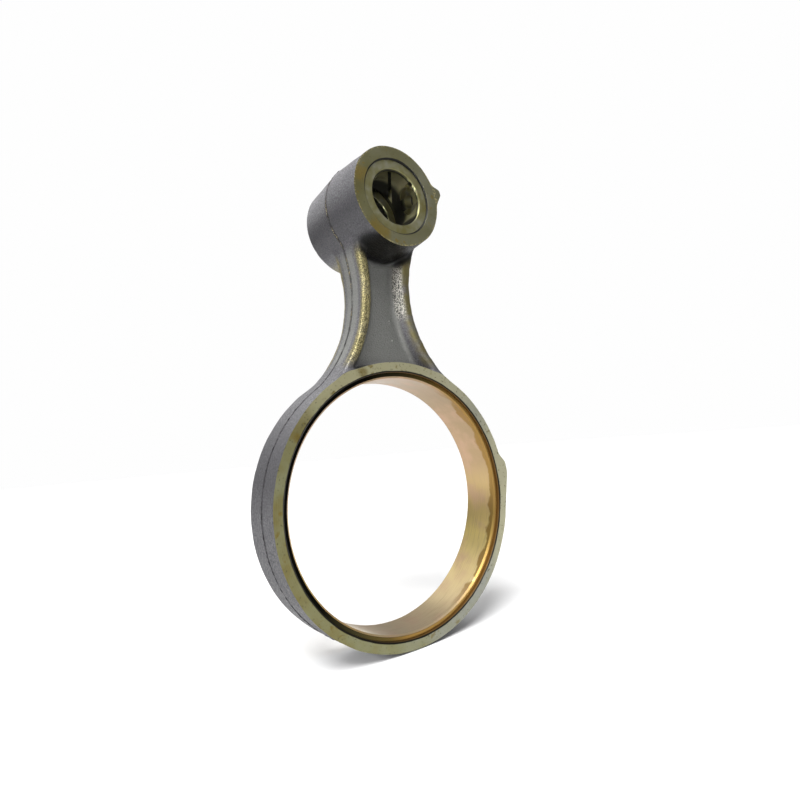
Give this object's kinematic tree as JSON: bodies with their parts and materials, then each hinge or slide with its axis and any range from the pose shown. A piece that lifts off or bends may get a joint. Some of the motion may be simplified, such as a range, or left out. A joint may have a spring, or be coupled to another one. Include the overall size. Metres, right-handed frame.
{
  "type": "connecting rod",
  "caption": "One-piece connecting rod with a large thin ring, a short waisted I-section shank, and a wide small-end boss with plain bushes.",
  "frame": {"origin": "centre of the big-end bore, half way between the two machined faces of the ring", "axes": "+Z from the big end up to the small end, +Y along both bores from the front face to the rear face, +X towards the side with the oil lug"},
  "size_m": [0.0831, 0.029, 0.1449],
  "materials": {
    "cast_rod": "shot-blasted casting skin, dark purplish grey, with oiled machined faces",
    "machined_face": "turned face, dull olive grey, with ochre oil stains",
    "bronze": "fine-bored bronze, satin, pinkish copper to gold",
    "bush_steel": "ground and reamed, oily, olive grey"
  },
  "bodies": {
    "root": {"rod_body": "cast_rod", "big_end_bush": "bronze", "small_end_bush_front": "bush_steel", "small_end_bush_rear": "bush_steel"}
  },
  "joints": []
}
